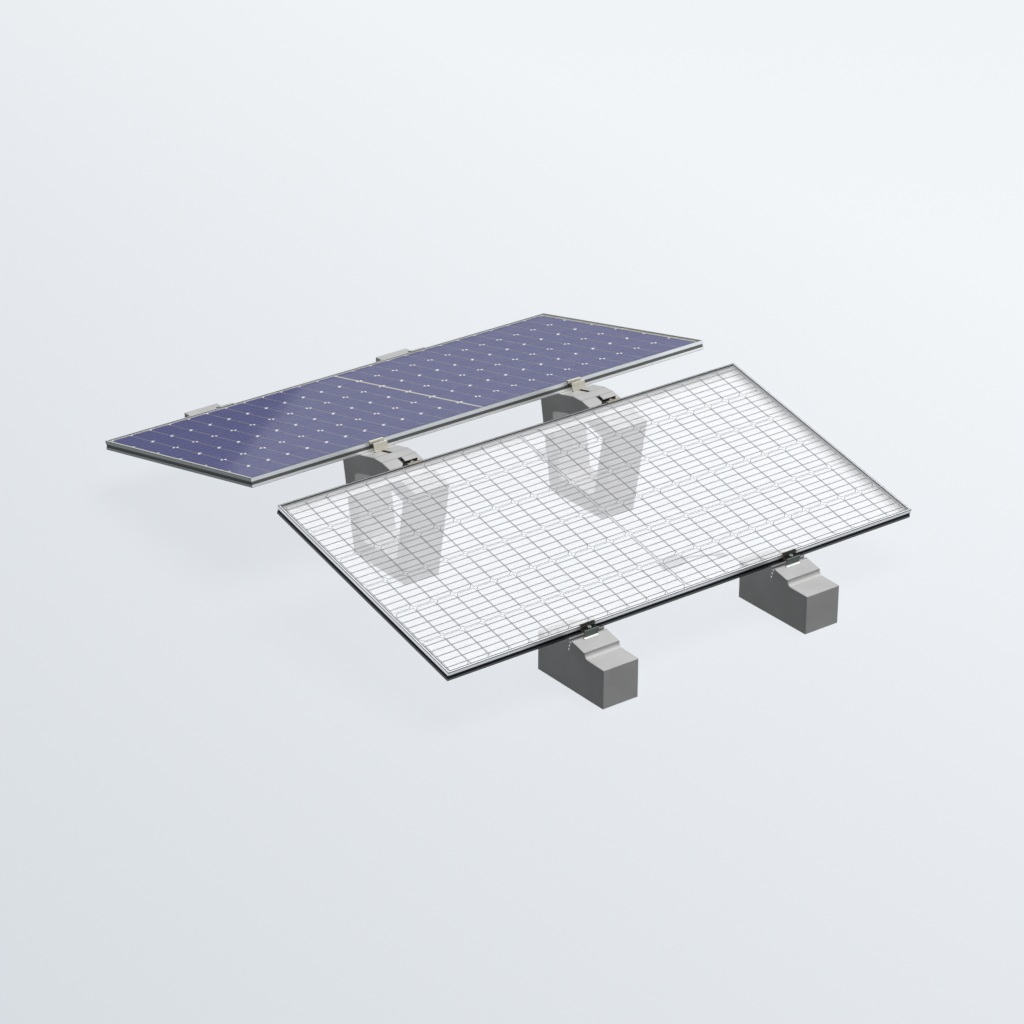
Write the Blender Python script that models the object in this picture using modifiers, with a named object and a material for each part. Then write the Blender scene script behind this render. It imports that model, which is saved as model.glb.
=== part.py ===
"""Dual-pitch ballast mount: two framed solar modules clamped to six cast blocks.

Metres, +Z up. X runs along the ridge, -Y is the front, and the origin lies on the
ground under the middle of the ridge. Run with: blender --background --python part.py
"""
import math

import bpy
import bmesh
from mathutils import Matrix, Vector

PART_COLLECTION = "solar_ballast_mount"
CUTTER_COLLECTION = "cutters"

# Fits and meshing
FIT_GAP = 0.0003
CUT_OVERRUN = 0.010
WELD_DISTANCE = 0.00001
ARC_STEPS = 5
ROUND_SIDES = 20
SHARP_ANGLE = math.radians(30)

# Layout of the array
TILT = math.radians(12.7)
RIDGE_HALF_GAP = 0.112
MODULE_STAGGER = 0.045
BLOCK_SPACING = 0.914

# Module
MODULE_LENGTH = 2.094
MODULE_WIDTH = 1.038
MODULE_DEPTH = 0.035

# Extruded frame section
FRAME_WALL = 0.0032
FRAME_SKIN = 0.0018
FRAME_LIP_REACH = 0.0095
FRAME_LIP_THICKNESS = 0.0015
FRAME_SHELF_REACH = 0.0116
FRAME_FLANGE_REACH = 0.030
BAND_LOW = 0.0103
BAND_HIGH = 0.0216
BAND_DEPTH = 0.0016
BAND_TAPER = 0.0006
CORNER_KEY_ARM = 0.032

CORNER_KEY_PRESS = 0.010
KEY_INTERFERENCE = 0.0003

# Laminate: front glass over a back sheet that carries the cells
GLASS_THICKNESS = 0.0032
SHEET_THICKNESS = 0.0008
CELL_RELIEF = 0.0004
GLASS_EDGE_GAP = 0.0008

# Half-cut cells, laid out between margins in from the module's outer sides
CELL_END_MARGIN = 0.018
CELL_SIDE_MARGIN = 0.01175
CELL_CHAMFER = 0.0125
COLUMN_GAP = 0.0025
ROW_GAP = 0.0037
CENTRE_GAP = 0.011
COLUMNS_PER_HALF = 12
CELL_ROWS = 6

# Junction boxes, leads and connectors
BOX_LENGTH = 0.100
BOX_WIDTH = 0.056
BOX_HEIGHT = 0.018
BOX_EDGE = 0.003
BOX_RIM = 0.005
BOX_RIM_HEIGHT = 0.004
BOX_DRAFT_SHARE = 0.92
BOX_OFFSET = 0.040
BOX_PITCH_SHARE = 0.347
GLAND_RADIUS = 0.0055
GLAND_LENGTH = 0.012
LEAD_RADIUS = 0.003
LEAD_STEPS = 4
PLUG_BODY_RADIUS = 0.0085
PLUG_NUT_RADIUS = 0.0075
PLUG_NOSE_RADIUS = 0.0050
PLUG_NUT_LENGTH = 0.014
PLUG_BODY_LENGTH = 0.020
PLUG_NOSE_LENGTH = 0.012
PLUG_STEP = 0.001

# Cast blocks
BLOCK_WIDTH = 0.153
BLOCK_CHAMFER = 0.0015
ARCH_HEIGHT = 0.4403
ARCH_CROWN_HALF = 0.025
ARCH_SHOULDER_HALF = 0.231
ARCH_BASE_HALF = 0.160
ARCH_LEG = 0.067
ARCH_SILL = 0.076
ARCH_CROWN_DEPTH = 0.0755
ARCH_INNER_RADIUS = 0.014
ARCH_SILL_RADIUS = 0.006
LOW_BLOCK_PROJECTION = 0.1934
LOW_BLOCK_LENGTH = 0.364
LOW_BLOCK_STEP = 0.020
LOW_BLOCK_NOSE_FALL = 0.0026
LOW_BLOCK_LEDGE_RUN = 0.088
LOW_BLOCK_FILLET = 0.0165
LOW_BLOCK_SEAT_RUN = 0.155

# Anchor rail cast into the blocks, with a slot for the clamp bolts
RAIL_WIDTH = 0.0172
RAIL_DEPTH = 0.0125
RAIL_WALL = 0.0018
RAIL_SLOT = 0.009
RAIL_STEM = 0.002
RAIL_ROOT_DROP = 0.0006
RAIL_STEM_DEPTH = 0.046
RAIL_BULB_RADIUS = 0.0028
RAIL_BULB_DEPTHS = (0.024, 0.039)
RIDGE_RAIL_SETBACK = 0.0015
RIDGE_RAIL_OVERLAP = 0.024

# Module clamp and its fasteners
CLAMP_LENGTH = 0.062
CLAMP_SHEET = 0.003
CLAMP_LIP_REACH = 0.008
CLAMP_FLOOR_DEPTH = 0.014
CLAMP_LEG_REACH = 0.0265
CLAMP_LEG_DROP = 0.0025
CLAMP_FOOT_REACH = 0.0065
CLAMP_FOOT_THICKNESS = 0.0025
CLAMP_BEND = 0.0012
BOLT_OFFSET = 0.011
BOLT_RADIUS = 0.004
BOLT_HOLE_RADIUS = 0.0045
BOLT_HEAD_RADIUS = 0.0065
BOLT_HEAD_HEIGHT = 0.008
BOLT_SOCKET_RADIUS = 0.0034
BOLT_SOCKET_DEPTH = 0.004
BOLT_END_SPARE = 0.001
NUT_SIDE = 0.013
NUT_HEIGHT = 0.0065

SLOPE = math.tan(TILT)
CELL_LENGTH = (MODULE_LENGTH / 2 - CELL_END_MARGIN - CENTRE_GAP / 2 + COLUMN_GAP) / COLUMNS_PER_HALF - COLUMN_GAP
CELL_WIDTH = (MODULE_WIDTH - 2 * CELL_SIDE_MARGIN + ROW_GAP) / CELL_ROWS - ROW_GAP
BOX_PITCH = MODULE_WIDTH * BOX_PITCH_SHARE
LOW_BLOCK_REACH = RIDGE_HALF_GAP + MODULE_WIDTH * math.cos(TILT) + LOW_BLOCK_PROJECTION
BLOCK_CENTRES = (-MODULE_STAGGER / 2 - BLOCK_SPACING / 2, -MODULE_STAGGER / 2 + BLOCK_SPACING / 2)
SLOT_HEIGHT = GLASS_THICKNESS + SHEET_THICKNESS + CELL_RELIEF + 3 * FIT_GAP
SLOT_TOP = MODULE_DEPTH - FRAME_LIP_THICKNESS
SLOT_FLOOR = SLOT_TOP - SLOT_HEIGHT
CLAMP_FLOOR_TOP = CLAMP_SHEET - CLAMP_FLOOR_DEPTH
NUT_TOP = -MODULE_DEPTH - 2 * FIT_GAP - RAIL_WALL

# Maps a flat shape's own axes so that its outline stands in Y and Z and it runs along X.
ALONG_X = Matrix(((0, 0, 1, 0), (1, 0, 0, 0), (0, 1, 0, 0), (0, 0, 0, 1)))
HALF_TURN = math.pi
QUARTER_TURN = math.pi / 2


def clear_scene():
    """Remove every object that is already in the file."""
    for old in list(bpy.data.objects):
        bpy.data.objects.remove(old, do_unlink=True)


def new_collection(name):
    """Make a collection under the scene's own one."""
    made = bpy.data.collections.new(name)
    bpy.context.scene.collection.children.link(made)
    return made


def principled(name, colour, roughness, metallic=0.0, alpha=1.0):
    """Make a material with one Principled BSDF."""
    made = bpy.data.materials.new(name)
    made.use_nodes = True
    shader = made.node_tree.nodes["Principled BSDF"]
    shader.inputs["Base Color"].default_value = (*colour, 1.0)
    shader.inputs["Roughness"].default_value = roughness
    shader.inputs["Metallic"].default_value = metallic
    shader.inputs["Alpha"].default_value = alpha
    return made


def concrete(name):
    return principled(name, (0.42, 0.42, 0.41), 0.9)


def aluminium(name):
    return principled(name, (0.62, 0.65, 0.67), 0.35, 0.9)


def steel(name):
    return principled(name, (0.50, 0.49, 0.44), 0.4, 0.9)


def black_plastic(name):
    return principled(name, (0.03, 0.03, 0.035), 0.5)


def rounded(corners):
    """Turn corners given as (x, y, radius) into points, with an arc where a radius is set."""
    points = []
    count = len(corners)
    for index, (x, y, radius) in enumerate(corners):
        corner = Vector((x, y))
        if radius == 0:
            points.append((x, y))
            continue
        before = Vector(corners[index - 1][:2]) - corner
        after = Vector(corners[(index + 1) % count][:2]) - corner
        half_angle = before.angle(after) / 2
        bisector = (before.normalized() + after.normalized()).normalized()
        centre = corner + bisector * (radius / math.sin(half_angle))
        setback = radius / math.tan(half_angle)
        start = corner + before.normalized() * setback - centre
        end = corner + after.normalized() * setback - centre
        first = math.atan2(start.y, start.x)
        sweep = math.remainder(math.atan2(end.y, end.x) - first, 2 * math.pi)
        for step in range(ARC_STEPS + 1):
            angle = first + sweep * step / ARC_STEPS
            points.append((centre.x + radius * math.cos(angle), centre.y + radius * math.sin(angle)))
    return points


def baked(source):
    """Turn an object, with its modifiers, into a welded mesh and remove the object."""
    bpy.context.view_layer.update()
    evaluated = source.evaluated_get(bpy.context.evaluated_depsgraph_get())
    mesh = bpy.data.meshes.new_from_object(evaluated)
    bpy.data.objects.remove(source, do_unlink=True)
    cage = bmesh.new()
    cage.from_mesh(mesh)
    bmesh.ops.remove_doubles(cage, verts=cage.verts, dist=WELD_DISTANCE)
    bmesh.ops.recalc_face_normals(cage, faces=cage.faces)
    cage.to_mesh(mesh)
    cage.free()
    return mesh


def loose(name, data):
    """An object outside the part's collection, to be shaped and baked."""
    made = bpy.data.objects.new(name, data)
    bpy.context.scene.collection.objects.link(made)
    return made


def flat_shape(name, outlines, thickness):
    """Fill closed outlines, holes included, and give them a thickness along Z."""
    curve = bpy.data.curves.new(name, "CURVE")
    curve.dimensions = "2D"
    curve.fill_mode = "BOTH"
    curve.extrude = thickness / 2
    for outline in outlines:
        spline = curve.splines.new("POLY")
        spline.points.add(len(outline) - 1)
        for point, (x, y) in zip(spline.points, outline):
            point.co = (x, y, 0, 1)
        spline.use_cyclic_u = True
    return baked(loose(name, curve))


def prism_along_x(name, outlines, length):
    """An outline in Y and Z, run along X and centred on it."""
    mesh = flat_shape(name, outlines, length)
    mesh.transform(ALONG_X)
    return mesh


def box_mesh(name, size):
    """A box centred on its own origin."""
    cage = bmesh.new()
    bmesh.ops.create_cube(cage, size=1)
    bmesh.ops.scale(cage, vec=size, verts=cage.verts)
    mesh = bpy.data.meshes.new(name)
    cage.to_mesh(mesh)
    cage.free()
    return mesh


def cylinder_mesh(name, radius, low, high, sides=ROUND_SIDES):
    """An upright cylinder between two heights."""
    cage = bmesh.new()
    bmesh.ops.create_cone(cage, cap_ends=True, segments=sides, radius1=radius, radius2=radius,
                          depth=high - low, matrix=Matrix.Translation((0, 0, (low + high) / 2)))
    mesh = bpy.data.meshes.new(name)
    cage.to_mesh(mesh)
    cage.free()
    return mesh


def gathered(name, placed):
    """One mesh of separate solids, from pairs of a mesh and its matrix."""
    cage = bmesh.new()
    for mesh, matrix in placed:
        copy = mesh.copy()
        copy.transform(matrix)
        cage.from_mesh(copy)
        bpy.data.meshes.remove(copy)
    mesh = bpy.data.meshes.new(name)
    cage.to_mesh(mesh)
    cage.free()
    return mesh


def place(name, mesh, material, parent=None, location=(0, 0, 0), turn=0):
    """Put a mesh in the part's collection as a named object."""
    made = bpy.data.objects.new(name, mesh)
    if not made.data.materials:
        made.data.materials.append(material)
    made.parent = parent
    made.location = location
    made.rotation_euler = (0, 0, turn)
    bpy.data.collections[PART_COLLECTION].objects.link(made)
    return made


def cutter(name, mesh, parent=None, location=(0, 0, 0), turn=0):
    """Put a mesh among the cutters, hidden from renders."""
    made = bpy.data.objects.new(name, mesh)
    made.parent = parent
    made.location = location
    made.rotation_euler = (0, 0, turn)
    made.hide_render = True
    made.display_type = "WIRE"
    bpy.data.collections[CUTTER_COLLECTION].objects.link(made)
    return made


def combine(target, tool, operation):
    """Add a Boolean modifier with the exact solver."""
    modifier = target.modifiers.new(tool.name, "BOOLEAN")
    modifier.operation = operation
    modifier.solver = "EXACT"
    modifier.object = tool


def chamfer(target, width, segments=1):
    """Break the sharp edges of an object."""
    modifier = target.modifiers.new("edges", "BEVEL")
    modifier.width = width
    modifier.segments = segments
    modifier.limit_method = "ANGLE"
    modifier.angle_limit = SHARP_ANGLE


def shade_round(mesh):
    """Smooth the round faces and keep the edges sharp."""
    mesh.shade_smooth()
    mesh.set_sharp_from_angle(angle=SHARP_ANGLE)


def seat_height(reach):
    """Height of the sloping seats at a distance from the ridge."""
    return ARCH_HEIGHT - (reach - ARCH_CROWN_HALF) * SLOPE


def module_empty(name, side):
    """An empty at the middle of a module's underside. side is -1 in front and 1 behind."""
    made = bpy.data.objects.new(name, None)
    reach = RIDGE_HALF_GAP + MODULE_WIDTH / 2 * math.cos(TILT)
    height = seat_height(RIDGE_HALF_GAP) - MODULE_WIDTH / 2 * math.sin(TILT) + FIT_GAP / math.cos(TILT)
    made.location = (side * MODULE_STAGGER / 2, side * reach, height)
    made.rotation_euler = (-side * TILT, 0, 0)
    bpy.data.collections[PART_COLLECTION].objects.link(made)
    return made


def block_places(side):
    """The blocks' middles along a module, in that module's own frame."""
    return [centre - side * MODULE_STAGGER / 2 for centre in BLOCK_CENTRES]


def frame_outline():
    """The frame's section: distance in from its outer face, and height above its underside."""
    return [
        (0, 0),
        (FRAME_FLANGE_REACH, 0),
        (FRAME_FLANGE_REACH, FRAME_SKIN),
        (FRAME_SHELF_REACH, FRAME_SKIN),
        (FRAME_SHELF_REACH, SLOT_FLOOR),
        (FRAME_WALL, SLOT_FLOOR),
        (FRAME_WALL, SLOT_TOP),
        (FRAME_LIP_REACH, SLOT_TOP),
        (FRAME_LIP_REACH, MODULE_DEPTH),
        (0, MODULE_DEPTH),
        (0, BAND_HIGH),
        (BAND_DEPTH, BAND_HIGH - BAND_TAPER),
        (BAND_DEPTH, BAND_LOW + BAND_TAPER),
        (0, BAND_LOW),
    ]


def frame_chamber():
    """The closed chamber in the frame's section, as its two corners."""
    return (FRAME_WALL, FRAME_SKIN), (FRAME_SHELF_REACH - FRAME_SKIN, SLOT_FLOOR - FRAME_SKIN)


def frame_rail(name, length):
    """One side of the frame, mitred at both ends, with its outer face at y = 0."""
    (near, low), (far, high) = frame_chamber()
    chamber = [(near, low), (near, high), (far, high), (far, low)]
    mesh = prism_along_x(name, [frame_outline(), chamber], length)
    for vertex in mesh.vertices:
        end = math.copysign(length / 2, vertex.co.x)
        vertex.co.x = end - math.copysign(vertex.co.y + FIT_GAP, end)
    return mesh


def corner_key(name):
    """An L-shaped key for the corner at the origin, with its arms along +X and +Y inside the chambers."""
    (near, low), (far, high) = frame_chamber()
    inner = near + FIT_GAP
    outer = far - FIT_GAP
    end = inner + CORNER_KEY_ARM
    outline = [(inner, inner), (end, inner), (end, outer), (outer, outer), (outer, end), (inner, end)]
    key = flat_shape(name, [outline], high - low - 2 * FIT_GAP)
    key.transform(Matrix.Translation((0, 0, (low + high) / 2)))
    return key


def key_press(name):
    """The length over which a key is pressed tight into the short rail's chamber."""
    (near, low), (far, high) = frame_chamber()
    press = box_mesh(name, (CORNER_KEY_PRESS, far - near - 4 * FIT_GAP, high - low + 2 * KEY_INTERFERENCE))
    press.transform(Matrix.Translation((CORNER_KEY_ARM - CORNER_KEY_PRESS, (near + far) / 2, (low + high) / 2)))
    return press


def keyed_rail(name, length):
    """A side of the frame with a corner key pressed into each end, as one mesh."""
    rail = loose(name, frame_rail(name, length))
    tools = []
    for mesh, label in ((key_press(name), "press"), (corner_key(name), "key")):
        for end in (-1, 1):
            tool = mesh.copy()
            tool.transform(Matrix.Diagonal((-end, 1, 1, 1)))
            tool.transform(Matrix.Translation((end * length / 2, 0, 0)))
            if end > 0:
                tool.flip_normals()
            tools.append(cutter(name + "_" + label, tool))
            combine(rail, tools[-1], "UNION")
    mesh = baked(rail)
    for tool in tools:
        bpy.data.objects.remove(tool, do_unlink=True)
    return mesh


def cell_grid(name, low, high):
    """The half-cut cells. Their clipped corners face one way in one row and the other way in the next."""
    half_x = CELL_LENGTH / 2
    half_y = CELL_WIDTH / 2
    clip = CELL_CHAMFER
    outline = [(-half_x + clip, -half_y), (half_x, -half_y), (half_x, half_y), (-half_x + clip, half_y),
               (-half_x, half_y - clip), (-half_x, clip - half_y)]
    cell = flat_shape(name, [outline], high - low)
    pitch_x = CELL_LENGTH + COLUMN_GAP
    pitch_y = CELL_WIDTH + ROW_GAP
    placed = []
    for half in (0, 1):
        for row in range(CELL_ROWS):
            for column in range(COLUMNS_PER_HALF):
                x = (CENTRE_GAP + CELL_LENGTH) / 2 + column * pitch_x
                y = ((CELL_ROWS - 1) / 2 - row) * pitch_y
                turn = HALF_TURN if (half + row) % 2 else 0
                spot = Matrix.Translation((x if half else -x, y, (low + high) / 2))
                placed.append((cell, spot @ Matrix.Rotation(turn, 4, "Z")))
    return gathered(name, placed)


def cell_laminate(name, material, parent):
    """The back sheet with the cells bonded on it, as one piece."""
    inset = FRAME_WALL + GLASS_EDGE_GAP
    sheet = box_mesh(name, (MODULE_LENGTH - 2 * inset, MODULE_WIDTH - 2 * inset, SHEET_THICKNESS))
    made = place(name, sheet, material, parent, (0, 0, SLOT_FLOOR + FIT_GAP + SHEET_THICKNESS / 2))
    top = SHEET_THICKNESS / 2
    cells = cutter(name + "_cells", cell_grid(name + "_cells", 0, top + CELL_RELIEF), parent, made.location)
    combine(made, cells, "UNION")


def glass_mesh(name):
    """A pane that fits the frame's slot."""
    inset = FRAME_WALL + GLASS_EDGE_GAP
    return box_mesh(name, (MODULE_LENGTH - 2 * inset, MODULE_WIDTH - 2 * inset, GLASS_THICKNESS))


def junction_box(name, material, parent, y, has_lead):
    """A low box with drafted walls and a rim under the back sheet, with a gland where a lead comes out."""
    spot = (BOX_OFFSET, y, box_height())
    mesh = box_mesh(name, (BOX_LENGTH - 2 * BOX_RIM, BOX_WIDTH - 2 * BOX_RIM, BOX_HEIGHT))
    for vertex in mesh.vertices:
        if vertex.co.z < 0:
            vertex.co.x *= BOX_DRAFT_SHARE
            vertex.co.y *= BOX_DRAFT_SHARE
    box = place(name, mesh, material, parent, spot)
    chamfer(box, BOX_EDGE, 2)
    rim = box_mesh(name + "_rim", (BOX_LENGTH, BOX_WIDTH, BOX_RIM_HEIGHT))
    rim.transform(Matrix.Translation((0, 0, (BOX_HEIGHT - BOX_RIM_HEIGHT) / 2)))
    rim_cutter = cutter(name + "_rim", rim, parent, spot)
    chamfer(rim_cutter, FRAME_SKIN / 2)
    combine(box, rim_cutter, "UNION")
    if has_lead:
        gland = cylinder_mesh(name + "_gland", GLAND_RADIUS, 0, gland_reach())
        gland.transform(Matrix.Rotation(QUARTER_TURN, 4, "Y"))
        combine(box, cutter(name + "_gland", gland, parent, spot), "UNION")
    return box


def box_height():
    """Height of a junction box's middle above the module's underside."""
    return SLOT_FLOOR - BOX_HEIGHT / 2


def gland_reach():
    """How far the gland's end lies from the box's middle."""
    return BOX_LENGTH / 2 + GLAND_LENGTH


def smooth_route(points):
    """Points of a smooth curve through the route's own points."""
    route = []
    last = len(points) - 1
    for index in range(last):
        before = points[max(index - 1, 0)]
        start = points[index]
        end = points[index + 1]
        after = points[min(index + 2, last)]
        for step in range(LEAD_STEPS):
            t = step / LEAD_STEPS
            route.append(0.5 * (2 * start + (end - before) * t
                                + (2 * before - 5 * start + 4 * end - after) * t ** 2
                                + (3 * (start - end) + after - before) * t ** 3))
    route.append(points[last])
    return route


def lead(name, material, parent, start, offsets):
    """A lead through points given as offsets from its gland."""
    curve = bpy.data.curves.new(name, "CURVE")
    curve.dimensions = "3D"
    curve.bevel_depth = LEAD_RADIUS
    curve.bevel_resolution = 2
    curve.use_fill_caps = True
    route = smooth_route([start + Vector(offset) for offset in offsets])
    spline = curve.splines.new("POLY")
    spline.points.add(len(route) - 1)
    for point, spot in zip(spline.points, route):
        point.co = (*spot, 1)
    place(name, curve, material, parent)
    return route


def turned(name, profile):
    """A solid of revolution about Z from a profile of (radius, height), from top to bottom."""
    mesh = bpy.data.meshes.new(name)
    mesh.from_pydata([(x, 0, z) for x, z in profile], [(i, i + 1) for i in range(len(profile) - 1)], [])
    made = loose(name, mesh)
    screw = made.modifiers.new("turned", "SCREW")
    screw.steps = ROUND_SIDES
    screw.render_steps = ROUND_SIDES
    screw.use_merge_vertices = True
    screw.merge_threshold = WELD_DISTANCE
    return made


def plug_mesh(name):
    """A connector with its cable end at z = 0 and its nose upward."""
    nut_top = PLUG_NUT_LENGTH
    body_top = nut_top + PLUG_BODY_LENGTH
    nose_top = body_top + PLUG_NOSE_LENGTH
    return baked(turned(name, [
        (0, nose_top),
        (PLUG_NOSE_RADIUS - PLUG_STEP, nose_top),
        (PLUG_NOSE_RADIUS, nose_top - PLUG_STEP),
        (PLUG_NOSE_RADIUS, body_top),
        (PLUG_BODY_RADIUS, body_top),
        (PLUG_BODY_RADIUS, nut_top),
        (PLUG_NUT_RADIUS, nut_top - PLUG_STEP),
        (PLUG_NUT_RADIUS, PLUG_STEP),
        (PLUG_NUT_RADIUS - PLUG_STEP, 0),
        (0, 0),
    ]))


def plug(name, material, parent, route):
    """A connector on the end of a lead."""
    made = place(name, plug_mesh(name), material, parent)
    direction = (route[-1] - route[-2]).normalized()
    made.location = route[-1] + direction * FIT_GAP
    made.rotation_euler = direction.to_track_quat("Z", "Y").to_euler()
    shade_round(made.data)


# Routes of the two leads as offsets from their glands, in the module's frame
LOW_LEAD_ROUTE = ((0.0003, 0, 0), (0.020, 0, -0.001), (0.050, -0.001, -0.006), (0.085, -0.003, -0.013),
                  (0.120, -0.005, -0.022), (0.152, -0.007, -0.031))
HIGH_LEAD_ROUTE = ((0.0003, 0, 0), (0.016, 0, -0.0005), (0.034, 0.003, -0.002), (0.050, 0.014, -0.004),
                   (0.058, 0.030, -0.007), (0.060, 0.046, -0.010))


def build_module(prefix, side, with_leads):
    """One framed module with its laminate, keys and junction boxes."""
    base = module_empty(prefix + "_module", side)
    half_length = MODULE_LENGTH / 2
    half_width = MODULE_WIDTH / 2
    long_rail = frame_rail(prefix + "_long_rail", MODULE_LENGTH)
    short_rail = keyed_rail(prefix + "_short_rail", MODULE_WIDTH)
    for name, mesh, spot, turn in (
        ("frame_near", long_rail, (0, -half_width, 0), 0),
        ("frame_far", long_rail.copy(), (0, half_width, 0), HALF_TURN),
        ("frame_left", short_rail, (-half_length, 0, 0), -QUARTER_TURN),
        ("frame_right", short_rail.copy(), (half_length, 0, 0), QUARTER_TURN),
    ):
        place(prefix + "_" + name, mesh, aluminium(prefix + "_" + name), base, spot, turn)
    clear = side < 0
    sheet_colour = (0.90, 0.91, 0.95) if clear else (0.09, 0.10, 0.32)
    cell_laminate(prefix + "_cell_laminate",
                  principled(prefix + "_cell_laminate", sheet_colour, 0.3, alpha=0.5 if clear else 1.0), base)
    place(prefix + "_front_glass", glass_mesh(prefix + "_front_glass"),
          principled(prefix + "_front_glass", (0.9, 0.92, 0.95), 0.05, alpha=0.3), base,
          (0, 0, SLOT_TOP - FIT_GAP - GLASS_THICKNESS / 2))
    for name, y, has_lead in (("high", BOX_PITCH, True), ("middle", 0, False), ("low", -BOX_PITCH, True)):
        full = prefix + "_" + name + "_junction_box"
        junction_box(full, black_plastic(full), base, y, has_lead)
    if with_leads:
        for name, y, offsets in (("high", BOX_PITCH, HIGH_LEAD_ROUTE), ("low", -BOX_PITCH, LOW_LEAD_ROUTE)):
            full = prefix + "_" + name
            start = Vector((BOX_OFFSET + gland_reach(), y, box_height()))
            route = lead(full + "_lead", black_plastic(full + "_lead"), base, start, offsets)
            plug(full + "_connector", black_plastic(full + "_connector"), base, route)
    return base


def rail_side(grow):
    """One side of the anchor rail's outline below its top, from the head down its ribbed stem."""
    stem = RAIL_STEM / 2 + grow
    bulb = RAIL_BULB_RADIUS + grow
    under = -RAIL_DEPTH - grow
    points = [(RAIL_WIDTH / 2 + grow, under), (stem, under - RAIL_ROOT_DROP)]
    start = math.acos(stem / bulb)
    for depth in RAIL_BULB_DEPTHS:
        for step in range(ARC_STEPS + 1):
            angle = start - 2 * start * step / ARC_STEPS
            points.append((bulb * math.cos(angle), bulb * math.sin(angle) - depth))
    points.append((stem, -RAIL_STEM_DEPTH - grow))
    return points


def mirrored(points):
    """The same points on the other side, in the other order."""
    return [(-x, y) for x, y in reversed(points)]


def rail_outline():
    """The anchor rail: a slotted head over a stem with two ribs that hold it in the cast."""
    half = RAIL_WIDTH / 2
    inner = half - RAIL_WALL
    slot = RAIL_SLOT / 2
    floor = RAIL_WALL - RAIL_DEPTH
    outside = [(slot, 0), (half, 0)] + rail_side(0)
    inside = [(slot, -RAIL_WALL), (inner, -RAIL_WALL), (inner, floor)]
    return outside + mirrored(outside) + [(-x, y) for x, y in inside] + list(reversed(inside))


def rail_pocket_outline():
    """The hole that the rail leaves in the cast, open above the seat."""
    side = [(RAIL_WIDTH / 2 + FIT_GAP, CUT_OVERRUN)] + rail_side(FIT_GAP)
    return side + mirrored(side)


def low_block_mesh(name):
    """A low block in front: a nose, a raised seat that slopes with the module, and a ledge behind."""
    front = -LOW_BLOCK_REACH
    back = front + LOW_BLOCK_LENGTH
    seat_front = front + LOW_BLOCK_LEDGE_RUN + LOW_BLOCK_FILLET
    seat_back = seat_front + LOW_BLOCK_SEAT_RUN
    ledge = seat_height(-seat_front) - LOW_BLOCK_STEP
    nose = ledge - LOW_BLOCK_NOSE_FALL
    outline = rounded([
        (front, 0, 0),
        (back, 0, 0),
        (back, nose, 0),
        (seat_back, ledge, LOW_BLOCK_FILLET),
        (seat_back, seat_height(-seat_back), 0),
        (seat_front, seat_height(-seat_front), 0),
        (seat_front, ledge, LOW_BLOCK_FILLET),
        (front, nose, 0),
    ])
    return prism_along_x(name, [outline], BLOCK_WIDTH)


def arch_block_mesh(name):
    """A tall block with an opening, flared legs and two seats that fall away from its crown."""
    shoulder = seat_height(ARCH_SHOULDER_HALF)
    flare = (ARCH_SHOULDER_HALF - ARCH_BASE_HALF) / shoulder
    sill_half = ARCH_BASE_HALF + flare * ARCH_SILL - ARCH_LEG
    crown_inside = ARCH_HEIGHT - ARCH_CROWN_DEPTH
    knee_half = ((ARCH_BASE_HALF - ARCH_LEG + flare * (crown_inside + SLOPE * ARCH_CROWN_HALF))
                 / (1 + flare * SLOPE))
    knee = crown_inside - (knee_half - ARCH_CROWN_HALF) * SLOPE
    outer = [(-ARCH_BASE_HALF, 0), (ARCH_BASE_HALF, 0), (ARCH_SHOULDER_HALF, shoulder),
             (ARCH_CROWN_HALF, ARCH_HEIGHT), (-ARCH_CROWN_HALF, ARCH_HEIGHT), (-ARCH_SHOULDER_HALF, shoulder)]
    opening = rounded([
        (-sill_half, ARCH_SILL, ARCH_SILL_RADIUS),
        (sill_half, ARCH_SILL, ARCH_SILL_RADIUS),
        (knee_half, knee, ARCH_INNER_RADIUS),
        (ARCH_CROWN_HALF, crown_inside, 0),
        (-ARCH_CROWN_HALF, crown_inside, 0),
        (-knee_half, knee, ARCH_INNER_RADIUS),
    ])
    return prism_along_x(name, [outer, opening], BLOCK_WIDTH)


def build_low_block(name, mesh, side, base, x, local_x):
    """A low block with the rail that runs across it."""
    block = place(name + "_block", mesh, concrete(name + "_block"), None, (x, 0, 0), HALF_TURN if side > 0 else 0)
    chamfer(block, BLOCK_CHAMFER)
    spot = (local_x, side * (MODULE_WIDTH / 2 + BOLT_OFFSET), -FIT_GAP)
    pocket = prism_along_x(name + "_pocket", [rail_pocket_outline()], BLOCK_WIDTH + 2 * CUT_OVERRUN)
    combine(block, cutter(name + "_pocket", pocket, base, spot), "DIFFERENCE")
    rail = prism_along_x(name + "_rail", [rail_outline()], BLOCK_WIDTH)
    place(name + "_rail", rail, aluminium(name + "_rail"), base, spot)


def build_arch_block(name, x, bases):
    """A tall block with a short rail down each seat."""
    block = place(name + "_block", arch_block_mesh(name + "_block"), concrete(name + "_block"), None, (x, 0, 0))
    chamfer(block, BLOCK_CHAMFER)
    start = ARCH_CROWN_HALF + RIDGE_RAIL_SETBACK
    end = RIDGE_HALF_GAP + RIDGE_RAIL_OVERLAP
    length = (end - start) / math.cos(TILT)
    middle = (start + end) / 2 - RIDGE_HALF_GAP
    for label, side in (("front", -1), ("rear", 1)):
        local_x = x - side * MODULE_STAGGER / 2
        spot = (local_x, side * (middle / math.cos(TILT) - MODULE_WIDTH / 2), -FIT_GAP)
        pocket = prism_along_x(name, [rail_pocket_outline()], length + 2 * FIT_GAP)
        combine(block, cutter(name + "_" + label + "_pocket", pocket, bases[side], spot, QUARTER_TURN),
                "DIFFERENCE")
        rail = prism_along_x(name, [rail_outline()], length)
        place(name + "_" + label + "_rail", rail, aluminium(name + "_" + label + "_rail"),
              bases[side], spot, QUARTER_TURN)


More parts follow.
